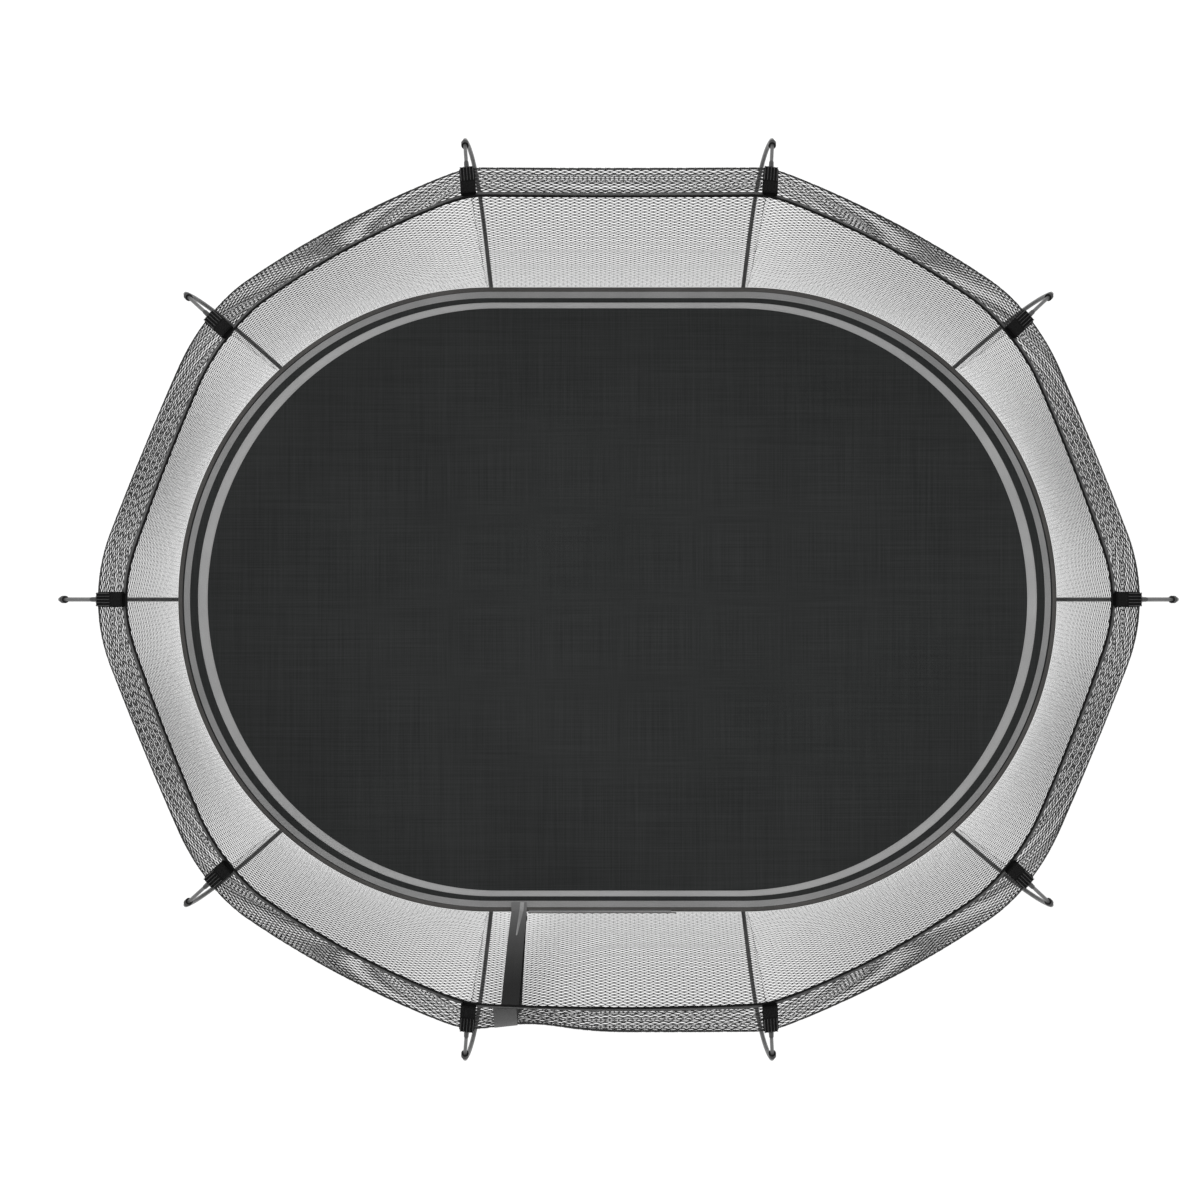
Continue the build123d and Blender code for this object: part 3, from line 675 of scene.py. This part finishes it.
def make_hem():
    u = even_u(np.arange(900) / 900)
    depth = 0.024
    top = cloth_top
    profile = [
        (top - depth, 0.0008, 0),
        (top - depth, 0.0032, 0),
        (top - depth / 2, 0.0042, 0),
        (top - 0.002, 0.0034, 0),
        (top, 0.0005, 0.0012),
        (top - 0.002, -0.0028, 0),
        (top - depth / 2, -0.0032, 0),
        (top - depth, -0.0022, 0),
    ]
    band = ring_sweep("hem_band", u, profile, "hem_binding")
    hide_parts("net_hem")
    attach(band, "frame")


def make_top_cord():
    """A twisted cord on the hem."""
    count, sides, radius, lift = 3000, 12, 0.0042, 0.0045
    lays, lay_depth, twists = 3, 0.1, 110
    u = even_u(np.arange(count) / count)
    centre = net_point(u, np.full(count, cloth_top), np.full(count, 0.0))
    centre[:, 2] += lift
    out = ring_out(u)
    around = np.linspace(0, 2 * math.pi, sides, endpoint=False)[None]
    twist = np.arange(count)[:, None] * 2 * math.pi * twists / count
    reach = radius * (1 + lay_depth * np.cos(lays * (around + twist)))
    points = centre[:, None] + (reach * np.cos(around))[..., None] * out[:, None]
    points[..., 2] += reach * np.sin(around)
    cord = add_mesh("top_cord", points.reshape(-1, 3), grid_faces(count, sides, True, True), "cord_black")
    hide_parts("net_top_cord")
    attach(cord, "frame")


def pocket_skin(pocket):
    """The sleeve of one pocket: soft ribs along its lower part, and a smooth cap over the hem."""
    ribs, sides, rings, square = 5, 96, 50, 5.0
    cap_start, cap_change, cap_overlap = 0.6, 60, 0.009
    rib_height, pad_height, seam_depth, seam_width = 0.0013, 0.0012, 0.0012, 0.018
    end_shrink = (0.74, 0.9, 0.97, 1.0)
    width, depth, length = pocket.half
    turn = np.linspace(0, 2 * math.pi, sides, endpoint=False)
    reach = (np.abs(np.cos(turn)) ** square + np.abs(np.sin(turn)) ** square) ** (-1 / square)
    across = width * reach * np.cos(turn)
    out = depth * reach * np.sin(turn)
    front = np.clip(np.sin(turn), 0, 1) ** 0.5
    points = []
    for ring in range(rings):
        share = ring / (rings - 1)
        shrink = end_shrink[min(ring, rings - 1 - ring, 3)]
        cap = 1 / (1 + math.exp(-(share - cap_start) * cap_change))
        ridge = rib_height * np.cos(across / width * math.pi * ribs) * (1 - cap)
        seam = seam_depth * math.exp(-(((share - cap_start) / seam_width) ** 2))
        pad = pad_height * cap * np.cos(across / width * math.pi / 2)
        skin = out * shrink * 0.95 + (ridge + pad - seam) * front * shrink
        along = (2 * share - 1) * length + cap_overlap * cap * share
        points.append(pocket.place(across * shrink * 0.99, skin, np.full(sides, along)))
    faces = grid_faces(rings, sides, False, True).tolist()
    faces += [list(range(sides)), list(range((rings - 1) * sides, rings * sides))[::-1]]
    return np.concatenate(points), faces


def pocket_piping(pocket):
    """Lighter piping on the ribs of a pocket, and a bound edge across its lower end."""
    width, depth, length = pocket.half
    count, radius = 24, 0.0014
    along = np.linspace(-0.985, 0.12, count) * length
    on_ribs = np.full(count, depth * 0.95 + 0.001)
    lines = [
        pocket.place(np.full(count, place * width), on_ribs, along)
        for place in (-0.8, -0.4, 0.0, 0.4, 0.8)
    ]
    across = np.linspace(-0.9, 0.9, count) * width
    lines.append(pocket.place(across, np.full(count, depth * 0.9), np.full(count, -0.97 * length)))
    starts = np.concatenate([line[:-1] for line in lines])
    ends = np.concatenate([line[1:] for line in lines])
    return strands(starts, ends, np.broadcast_to(pocket.out, starts.shape), radius)


def make_pockets():
    for name, make, slot in (
        ("net_pockets_ribbed", pocket_skin, "pocket_fabric"),
        ("net_pocket_piping", pocket_piping, "hem_binding"),
    ):
        all_points, all_faces, base = [], [], 0
        for pocket in pockets:
            points, faces = make(pocket)
            all_points.append(points)
            all_faces += [[corner + base for corner in face] for face in faces]
            base += len(points)
        piece = add_mesh(name, np.concatenate(all_points), all_faces, slot)
        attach(piece, "frame")
        if slot == "pocket_fabric":
            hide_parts("net_pockets")


# --- Mat ----------------------------------------------------------------------------------------

oval_steps = 480


def oval_sweep(name, profile, slot):
    """A closed band round the mat. The profile is (half-length, half-width, height) for each point."""
    distance = np.arange(oval_steps) / oval_steps * edge_length
    rings = []
    for length, width, height in profile:
        plan, _ = oval(distance, length, width)
        rings.append(np.column_stack([plan, np.full(oval_steps, height)]))
    points = np.stack(rings, 1).reshape(-1, 3)
    return add_mesh(name, points, grid_faces(oval_steps, len(profile), True, True), slot)


def oval_between(inner, outer, share):
    return tuple(a + (b - a) * share for a, b in zip(inner, outer))


def make_mat():
    """The woven bed: concentric ovals that dip a little towards the middle."""
    shares = np.concatenate([[0.03], np.linspace(0.08, 1, 24)])
    distance = np.arange(oval_steps) / oval_steps * edge_length
    inset, dip, drop = 0.006, 0.004, 0.0006
    rings = []
    for share in shares:
        plan, _ = oval(distance, (half_length - inset) * share, (half_width - inset) * share)
        height = mat_top - drop - dip * (1 - share**2)
        rings.append(np.column_stack([plan, np.full(oval_steps, height)]))
    points = np.stack(rings, 0).reshape(-1, 3)
    faces = grid_faces(len(shares), oval_steps, False, True).tolist() + [list(range(oval_steps))[::-1]]
    bed = add_mesh("mat_bed", points, faces, "mat_weave")
    solid = bed.modifiers.new("thickness", "SOLIDIFY")
    solid.thickness = 0.002
    solid.offset = 0
    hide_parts("jumping_mat")
    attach(bed, "mat")


def node_oval(name):
    """The outer oval of a stripe node, and its inner one from the vertices nearest the middle."""
    near_x, near_y = 0.08, arc_centre + 0.05
    points = np.array([v.co for v in nodes[name].data.vertices])
    outer = (points[:, 0].max(), points[:, 1].max())
    on_x = points[(np.abs(points[:, 1]) < near_x) & (points[:, 0] > 0)]
    on_y = points[(np.abs(points[:, 0]) < near_y) & (points[:, 1] > 0)]
    return (on_x[:, 0].min(), on_y[:, 1].min()), outer


def make_stripes():
    """Flat webbing rings with rolled edges and two rows of stitches each."""
    for name in ("mat_stripe_inner", "mat_stripe_outer"):
        inner, outer = node_oval(name)
        low = mat_top - 0.0004
        rise = (0.0, 0.0011, 0.0016, 0.0013, 0.0013, 0.0016, 0.0011, 0.0)
        spots = (0.0, 0.01, 0.06, 0.14, 0.86, 0.94, 0.99, 1.0)
        profile = [(*oval_between(inner, outer, spot), low + up) for spot, up in zip(spots, rise)]
        stripe = oval_sweep(f"{name}_webbing", profile, "stripe_webbing")
        if name == "mat_stripe_outer":
            stripe.data.materials[0] = webbing("outer_stripe_webbing", 0.19, 0.25)
        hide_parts(name)
        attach(stripe, "mat")
        for row, spot in enumerate((0.12, 0.88)):
            make_stitches(f"{name}_stitches_{row + 1}", oval_between(inner, outer, spot), low + 0.0014)


def make_stitches(name, ring, height):
    """A row of short raised threads round the mat."""
    pitch, length, width, rise = 0.012, 0.008, 0.0009, 0.0007
    count = int(edge_length / pitch)
    start, _ = oval(np.arange(count) * pitch, *ring)
    stop, out = oval(np.arange(count) * pitch + length, *ring)
    side = out * width / 2
    low = np.full(count, height)
    top = low + rise
    corners = [
        np.column_stack([start + side, low]),
        np.column_stack([start - side, low]),
        np.column_stack([stop - side, low]),
        np.column_stack([stop + side, low]),
        np.column_stack([start * 0.8 + stop * 0.2, top]),
        np.column_stack([start * 0.2 + stop * 0.8, top]),
    ]
    points = np.stack(corners, 1).reshape(-1, 3)
    pattern = ((0, 4, 5, 3), (1, 2, 5, 4), (0, 1, 4), (2, 3, 5))
    faces = [[i + 6 * stitch for i in face] for stitch in range(count) for face in pattern]
    row = add_mesh(name, points, faces, "light_tape")
    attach(row, "mat")


def make_border():
    """The bound edge: webbing folded over the mat's rim."""
    width = 0.017
    inner = (half_length - width, half_width - width)
    outer = (half_length, half_width)
    low, high = mat_floor - 0.0008, mat_top + 0.0024
    spots = (0.0, 0.02, 0.12, 0.5, 0.86, 0.97, 1.0, 0.97, 0.86, 0.1, 0.0)
    heights = (
        mat_top - 0.0005, mat_top + 0.0012, high - 0.0004, high, high - 0.0002, high - 0.0014,
        (low + high) / 2, low + 0.0014, low, low, mat_floor + 0.0008,
    )
    profile = [(*oval_between(inner, outer, spot), height) for spot, height in zip(spots, heights)]
    border = oval_sweep("mat_bound_edge", profile, "border_webbing")
    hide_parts("mat_border")
    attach(border, "mat")


def make_mat_rods():
    """Straight rods from the ring's sockets to the cleats, which lean out and sideways."""
    count, sides, radius = 60, 14, 0.0045
    head_inset, head_drop, foot_start = 0.012, 0.015, 0.030
    spacing = edge_length / count
    number = np.arange(count)
    head_plan, head_out = oval(number * spacing)
    foot_plan, foot_out = oval((number - 0.5) * spacing)
    head_plan = head_plan - head_out * head_inset
    foot_plan = foot_plan - foot_out * (half_width - ring_radius)
    head = np.column_stack([head_plan, np.full(count, mat_floor - head_drop)])
    foot = np.column_stack([foot_plan, np.full(count, ring_height)])
    along = unit(head - foot)
    foot = foot + along * foot_start
    side = unit(np.cross(along, [0, 0, 1.0]))
    other = np.cross(side, along)
    turn = np.linspace(0, 2 * math.pi, sides, endpoint=False)
    reach = np.cos(turn)[:, None] * side[:, None] + np.sin(turn)[:, None] * other[:, None]
    rings = []
    for share, size in ((0.0, 0.3), (0.002, 1.0), (0.5, 1.0), (0.993, 1.0), (1.0, 0.4)):
        rings.append((foot + (head - foot) * share)[:, None] + reach * radius * size)
    points = np.stack(rings, 1).reshape(-1, 3)
    tube = grid_faces(len(rings), sides, False, True)
    faces = np.concatenate([tube + rod * len(rings) * sides for rod in range(count)])
    piece = add_mesh("mat_rods", points, faces, "mat_rod_composite")
    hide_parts("mat_rods_left", "mat_rods_right")
    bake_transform(piece)


# --- Door ---------------------------------------------------------------------------------------


def front_point(across, up, out=0.0):
    """Points of the front wall or collar at these x places and cloth heights."""
    across, up, out = np.broadcast_arrays(*(np.asarray(v, float) for v in (across, up, out)))
    trial = np.linspace(front_panel, front_panel + 1, 241)
    points = []
    for x, height, offset in zip(across.ravel(), up.ravel(), out.ravel()):
        places = net_point(trial, np.full(trial.shape, height))[:, 0]
        u = np.interp(x, places, trial)
        points.append(net_point(np.array([u]), np.array([height]), np.array([offset]))[0])
    return np.array(points).reshape(across.shape + (3,))


# The front wall's strips: each's low and high face, in metres out of the net, and its thickness where
# it lies on the mat's border
strap_faces = (-0.0022, -0.0045)
streak_faces = (-0.0048, -0.0056)
patch_faces = (0.0022, 0.0042)
tape_faces = (0.0015, 0.0022)
tail_rise = 0.0026
strap_tail = 0.0022
streak_tail = 0.0008
# Where a strip's tail crosses the border, in metres inwards from the mat's edge
tail_insets = (0.037, 0.0364, 0.02, 0.008, 0.003)


def across_strip(left, right):
    """The x places of the six points round a strip, from its left side over its top and back."""
    return (left, left, (left + right) / 2, right, right, (left + right) / 2)


def add_strip(name, slot, rings):
    """A strip from its rings of six points, with both ends closed."""
    points = np.concatenate(rings)
    faces = grid_faces(len(rings), 6, False, True).tolist()
    faces += [list(range(6)), list(range(len(points) - 6, len(points)))[::-1]]
    return add_mesh(name, points, faces, slot, smooth=False)


def wall_rings(left, right, heights, faces):
    """The rings of a strip up the front wall, with its left and right side at each cloth height."""
    low, high = faces
    crown = high + math.copysign(0.0006, high - low)
    outs = (low, high, crown, high, low, low)
    sides = zip(left, right, heights)
    return [front_point(across_strip(*side), np.full(6, up), outs) for *side, up in sides]


def tail_rings(left, right, low, thickness):
    """The rings of a strip that lies on the mat's border, from its end on the mat to the wall's foot."""
    high = low + thickness
    heights = (low, high, high + 0.0004, high, low, low)
    rings = []
    for inset, *side in zip(tail_insets, left, right):
        rings.append(np.column_stack([across_strip(*side), np.full(6, inset - half_width), heights]))
    return rings


def bend_at_hinge(piece):
    """Bakes the piece's transform into its mesh."""
    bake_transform(piece)


def make_strap():
    """The door's strap from the mat's border up to the bulge, and the light streak at its foot."""
    strap_widths, lean, inset = (0.059, 0.066), 0.011, 0.0015
    tail = len(tail_insets)
    tail_low = mat_top + tail_rise
    heights = np.linspace(0.003, wall_cloth - 0.002, 48)
    right = strap_high[0] - inset - lean * heights / wall_cloth
    left = right - np.interp(heights / wall_cloth, (0, 1), strap_widths)
    rings = tail_rings(np.full(tail, left[0]), np.full(tail, right[0]), tail_low, strap_tail)
    rings += wall_rings(left, right, heights, strap_faces)
    strap = add_strip("door_strap_webbing", "strap_webbing", rings)
    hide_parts("door_strap")
    blend_with_mat(strap)

    top, foot_shift, tail_drift, halves = 0.33, 0.009, 0.004, (0.0078, 0.0026)
    heights = np.linspace(0.003, top, 16)
    strap_middles = ((left[0] + right[0]) / 2, (left[-1] + right[-1]) / 2)
    middle = np.interp(heights, (0, wall_cloth), strap_middles)
    middle += foot_shift * (1 - heights / top)
    half = np.interp(heights, (0, top), halves)
    drift = np.linspace(tail_drift, 0, tail)
    tail_sides = (middle[0] - half[0] + drift, middle[0] + half[0] + drift)
    rings = tail_rings(*tail_sides, tail_low + 0.0024, streak_tail)
    rings += wall_rings(middle - half, middle + half, heights, streak_faces)
    streak = add_strip("strap_streak_tape", "light_tape", rings)
    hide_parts("strap_streak")
    blend_with_mat(streak)
    return left[-1], right[-1]


def make_patch(strap_left, strap_right):
    """The patch that carries the strap on over the collar."""
    count, widening = 14, 0.016
    heights = np.linspace(wall_cloth - 0.014, cloth_top - 0.022, count)
    sides = (np.full(count, strap_left - widening), np.full(count, strap_right))
    patch = add_strip("collar_patch", "strap_webbing", wall_rings(*sides, heights, patch_faces))
    # Painted sheen: the patch is lighter at its lower end by the bulge and darker towards the hem.
    tones = ((0.12, 0.12), (0.5, 0.065), (1.0, 0.035))
    patch.data.materials[0] = sheen_ramp_webbing(
        "patch_sheen_webbing", bulge_height, 1 / (hem_height - bulge_height), tones)
    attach(patch, "frame")


def make_flap_hem():
    """The tape along the flap's lower edge, and the roll of cloth under it."""
    hem_low, hem_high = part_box("flap_hem")
    y_in, y_out = hem_high[1], hem_low[1] + 0.0035
    y_middle = (y_in + y_out) / 2
    low, top = hem_low[2], hem_high[2]
    high = top - 0.0004
    section = ((y_in, low), (y_in, high), (y_middle, top), (y_out, high), (y_out, low), (y_middle, low))
    rings = [np.array([(x, *spot) for spot in section]) for x in np.linspace(hem_low[0], hem_high[0], 40)]
    tape = add_strip("flap_hem_tape", "light_tape", rings)
    tape.data.materials[0] = webbing("flap_hem_webbing", 0.10, 0.15)
    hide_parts("flap_hem")
    bend_at_hinge(tape)
    count, radius = 60, 0.003
    line = np.column_stack([
        np.linspace(hem_low[0] - 0.004, hem_high[0] + 0.02, count),
        np.full(count, hem_low[1] + 0.001),
        np.full(count, high),
    ])
    outward = np.broadcast_to([0, -1.0, 0], (count - 1, 3))
    roll = add_mesh("flap_foot_roll", *strands(line[:-1], line[1:], outward, radius), "border_webbing")
    bend_at_hinge(roll)


def make_zip():
    """The zip's chain beside the slit: a tape and a row of coil teeth on it."""
    middle = (zip_low[0] + zip_high[0]) / 2
    top = wall_cloth * (zip_high[2] - net_foot) / (bulge_height - net_foot)
    count = 36
    heights = np.linspace(0.004, top, count)
    sides = (np.full(count, middle - 0.0065), np.full(count, middle + 0.0055))
    tape = add_strip("zip_tape", "zip_black", wall_rings(*sides, heights, tape_faces))
    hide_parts("door_zip")
    blend_with_mat(tape)
    pitch, base_out, tooth = 0.005, 0.0024, (0.0028, 0.0017, 0.0011)
    teeth = np.arange(0.006, top - 0.004, pitch)
    places = np.full(len(teeth), middle)
    base = front_point(places, teeth, base_out)
    way = unit(front_point(places, teeth, base_out + 0.0012) - base)
    length = unit(front_point(places, teeth + 0.002, base_out) - base)
    square = ((-1, -1), (1, -1), (1, 1), (-1, 1))
    corners = []
    for x, y, z in [(x, y, 0) for x, y in square] + [(0.7 * x, 0.4 * y, 1) for x, y in square]:
        across = np.array([tooth[0] * x, 0, 0])
        corners.append(base + across + length * tooth[1] * y + way * tooth[2] * z)
    points = np.stack(corners, 1).reshape(-1, 3)
    pattern = ((0, 1, 5, 4), (1, 2, 6, 5), (2, 3, 7, 6), (3, 0, 4, 7), (4, 5, 6, 7))
    faces = [[i + 8 * place for i in face] for place in range(len(teeth)) for face in pattern]
    chain = add_mesh("zip_teeth", points, faces, "zip_black", smooth=False)
    blend_with_mat(chain)


def round_edges():
    """Small rounded edges on the moulded and cut parts that keep their CAD shape."""
    for name in ("edge_cleats", "foot_pads", "net_rod_brackets", "rod_ferrules", "zip_slider", "zip_pull"):
        bevel = nodes[name].modifiers.new("edges", "BEVEL")
        bevel.width = 0.0006
        bevel.segments = 2
        bevel.limit_method = "ANGLE"


# --- Surroundings -------------------------------------------------------------------------------


def make_stage():
    """A pale floor that is bright enough to meet the white world without a horizon."""
    mesh = bpy.data.meshes.new("floor")
    size = 60
    corners = [(-size, -size, 0), (size, -size, 0), (size, size, 0), (-size, size, 0)]
    mesh.from_pydata(corners, [], [(0, 1, 2, 3)])
    made = Material("floor_pale", roughness=0.9, gloss=0.0)
    made.colour(made.noise(0.8, 3), grey(0.24), grey(0.26))
    made.shader.inputs["Emission Color"].default_value = (1, 1, 1, 1)
    made.shader.inputs["Emission Strength"].default_value = 0.8
    mesh.materials.append(made.material)
    floor = bpy.data.objects.new("floor", mesh)
    bpy.context.scene.collection.objects.link(floor)


def add_area(name, place, target, size, power):
    light = bpy.data.lights.new(name, "AREA")
    light.shape = "DISK"
    light.size = size
    light.energy = power
    lamp = bpy.data.objects.new(name, light)
    lamp.location = place
    lamp.rotation_euler = (Vector(target) - Vector(place)).to_track_quat("-Z", "Y").to_euler()
    bpy.context.scene.collection.objects.link(lamp)


def make_light():
    world = bpy.data.worlds.new("studio")
    world.use_nodes = True
    world.node_tree.nodes["Background"].inputs["Color"].default_value = (1, 1, 1, 1)
    world.node_tree.nodes["Background"].inputs["Strength"].default_value = 1.0
    bpy.context.scene.world = world
    add_area("key", (-5, 4, 9), (0, 0, 1), 5, 380)
    add_area("fill", (6, -5, 8), (0, 0, 1), 6, 120)
    bpy.context.scene.view_settings.view_transform = "Standard"


def make_camera():
    """Straight down from high above the mat, a little left of its middle."""
    height_over_mat = 16.5
    camera = bpy.data.cameras.new("camera")
    camera.sensor_width = 36
    camera.lens = 128.8
    camera.clip_end = 100
    eye = bpy.data.objects.new("camera", camera)
    eye.location = (-0.067, -0.002, mat_top + height_over_mat)
    bpy.context.scene.collection.objects.link(eye)
    bpy.context.scene.camera = eye


make_camera()
make_pockets()
make_net()
make_hem()
make_top_cord()
make_mat()
make_stripes()
make_border()
make_mat_rods()
make_patch(*make_strap())
make_flap_hem()
make_zip()
round_edges()
make_stage()
make_light()
